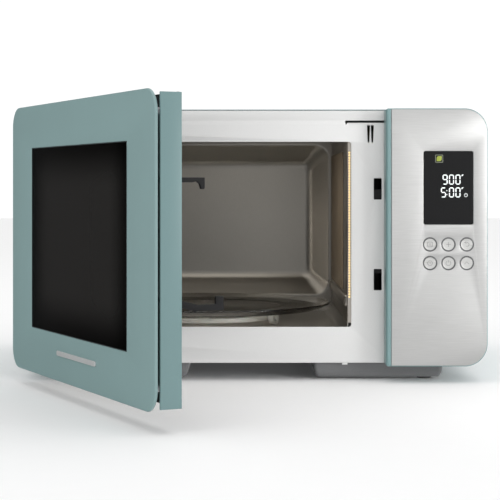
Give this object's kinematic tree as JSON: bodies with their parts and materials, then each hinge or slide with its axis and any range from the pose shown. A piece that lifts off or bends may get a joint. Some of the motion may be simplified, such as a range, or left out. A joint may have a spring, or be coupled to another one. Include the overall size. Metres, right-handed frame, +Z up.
{
  "type": "microwave oven",
  "caption": "Free-standing countertop microwave oven with a side-hinged glass door standing open, a turntable in a steel cavity and a push-button control panel on the right.",
  "frame": {"origin": "middle of the box that the oven fills with its door open as at rest, on the surface it stands on (the soles of its four feet)", "axes": "+X to the user's right, +Y from the front to the back, +Z up; the control panel and the frame behind the door face -Y"},
  "size_m": [0.518, 0.776, 0.299],
  "materials": {
    "door_paint": "pastel teal paint, semi-gloss",
    "door_glass": "glass painted teal behind, with a clear dark window",
    "brushed_steel": "horizontal brushing, satin",
    "frame_paint": "light silver-white enamel",
    "cavity_steel": "satin stainless steel",
    "mica": "mica sheet, brownish, slightly pearly",
    "clear_glass": "clear tempered glass",
    "galvanised_steel": "zinc-coated sheet",
    "dark_steel": "dark grey coated steel",
    "black_plastic": "black moulded plastic",
    "white_plastic": "natural white moulded plastic",
    "black_glass": "black display glass, glossy",
    "screen_black": "black enamelled perforated sheet",
    "rubber": "black rubber",
    "circuit_board": "green circuit board with dark parts",
    "chrome": "polished"
  },
  "bodies": {
    "chassis": {"base_pan": "dark_steel", "cavity_back": "cavity_steel", "cavity_ceiling": "cavity_steel", "cavity_floor": "cavity_steel", "cavity_side_left": "cavity_steel", "cavity_side_right": "cavity_steel", "control_board": "circuit_board", "cord_gland": "black_plastic", "display_window": "black_glass", "door_switch_lower": "black_plastic", "door_switch_upper": "black_plastic", "fan_motor": "galvanised_steel", "fan_shroud": "white_plastic", "foot_front_left": "rubber", "foot_front_right": "rubber", "foot_rear_left": "rubber", "foot_rear_right": "rubber", "front_frame": "frame_paint", "high_voltage_capacitor": "galvanised_steel", "high_voltage_transformer": "dark_steel", "hinge_bracket_lower": "galvanised_steel", "hinge_bracket_upper": "galvanised_steel", "lamp_holder": "white_plastic", "latch_board": "black_plastic", "magnetron": "galvanised_steel", "mains_filter_board": "circuit_board", "outer_casing": "door_paint", "oven_lamp": "clear_glass", "panel_fascia": "brushed_steel", "panel_housing": "door_paint", "rear_panel": "galvanised_steel", "turntable_motor": "galvanised_steel", "waveguide": "galvanised_steel", "waveguide_cover": "mica"},
    "door": {"door_glass": "door_glass", "door_badge": "chrome", "door_frame": "door_paint", "door_side_cap": "door_paint", "door_choke_frame": "galvanised_steel", "door_screen": "screen_black", "door_inner_window": "clear_glass", "door_inner_cover": "black_plastic", "latch_spring": "galvanised_steel"},
    "latch_hook_upper": {"latch_hook_upper": "black_plastic"},
    "latch_hook_lower": {"latch_hook_lower": "black_plastic"},
    "turntable": {"glass_plate": "clear_glass", "turntable_coupler": "white_plastic"},
    "roller_ring": {"roller_ring": "white_plastic"},
    "roller_1": {"roller_1": "white_plastic"},
    "roller_2": {"roller_2": "white_plastic"},
    "roller_3": {"roller_3": "white_plastic"},
    "fan": {"fan_blade": "white_plastic"},
    "button_back": {"button_back": "brushed_steel"},
    "button_cancel": {"button_cancel": "brushed_steel"},
    "button_clock": {"button_clock": "brushed_steel"},
    "button_defrost": {"button_defrost": "brushed_steel"},
    "button_plus": {"button_plus": "brushed_steel"},
    "button_power": {"button_power": "brushed_steel"}
  },
  "joints": [
    {"name": "door_hinge", "type": "hinge", "parent": "chassis", "child": "door", "pos_m": [-0.24898, -0.02923, 0.1585], "axis": [0, 0, -1], "range_deg": [-63.8, 41.2]},
    {"name": "latch_hook_upper_pivot", "type": "hinge", "parent": "door", "child": "latch_hook_upper", "pos_m": [-0.07494, -0.37524, 0.2189], "axis": [0.4415, -0.8973, 0], "range_deg": [0, 5], "stiffness_Nm_per_rad": 0.05, "springref_deg": -28.65},
    {"name": "latch_hook_lower_pivot", "type": "hinge", "parent": "door", "child": "latch_hook_lower", "pos_m": [-0.07494, -0.37524, 0.1157], "axis": [-0.4415, 0.8973, 0], "range_deg": [0, 5], "stiffness_Nm_per_rad": 0.05, "springref_deg": -28.65},
    {"name": "turntable_spin", "type": "hinge", "parent": "chassis", "child": "turntable", "pos_m": [-0.05448, 0.15142, 0.051], "axis": [0, 0, 1], "continuous": true},
    {"name": "roller_ring_spin", "type": "hinge", "parent": "chassis", "child": "roller_ring", "pos_m": [-0.05448, 0.15142, 0.051], "axis": [0, 0, 1], "continuous": true},
    {"name": "roller_1_spin", "type": "hinge", "parent": "roller_ring", "child": "roller_1", "pos_m": [-0.05448, 0.24692, 0.0583], "axis": [0, 1, 0], "continuous": true},
    {"name": "roller_2_spin", "type": "hinge", "parent": "roller_ring", "child": "roller_2", "pos_m": [-0.13719, 0.10367, 0.0583], "axis": [-0.866, -0.5, 0], "continuous": true},
    {"name": "roller_3_spin", "type": "hinge", "parent": "roller_ring", "child": "roller_3", "pos_m": [0.02822, 0.10367, 0.0583], "axis": [0.866, -0.5, 0], "continuous": true},
    {"name": "fan_spin", "type": "hinge", "parent": "chassis", "child": "fan", "pos_m": [0.19002, 0.35417, 0.2085], "axis": [0, 1, 0], "continuous": true},
    {"name": "button_back_press", "type": "slide", "parent": "chassis", "child": "button_back", "axis": [0, 1, 0], "range_m": [0, 0.0008], "stiffness_N_per_m": 800, "springref_m": -0.001},
    {"name": "button_cancel_press", "type": "slide", "parent": "chassis", "child": "button_cancel", "axis": [0, 1, 0], "range_m": [0, 0.0008], "stiffness_N_per_m": 800, "springref_m": -0.001},
    {"name": "button_clock_press", "type": "slide", "parent": "chassis", "child": "button_clock", "axis": [0, 1, 0], "range_m": [0, 0.0008], "stiffness_N_per_m": 800, "springref_m": -0.001},
    {"name": "button_defrost_press", "type": "slide", "parent": "chassis", "child": "button_defrost", "axis": [0, 1, 0], "range_m": [0, 0.0008], "stiffness_N_per_m": 800, "springref_m": -0.001},
    {"name": "button_plus_press", "type": "slide", "parent": "chassis", "child": "button_plus", "axis": [0, 1, 0], "range_m": [0, 0.0008], "stiffness_N_per_m": 800, "springref_m": -0.001},
    {"name": "button_power_press", "type": "slide", "parent": "chassis", "child": "button_power", "axis": [0, 1, 0], "range_m": [0, 0.0008], "stiffness_N_per_m": 800, "springref_m": -0.001}
  ],
  "couplings": [
    {"joint": "roller_ring_spin", "follows": "turntable_spin", "ratio": 0.5},
    {"joint": "roller_1_spin", "follows": "turntable_spin", "ratio": -6.8214},
    {"joint": "roller_2_spin", "follows": "turntable_spin", "ratio": -6.8214},
    {"joint": "roller_3_spin", "follows": "turntable_spin", "ratio": -6.8214}
  ]
}
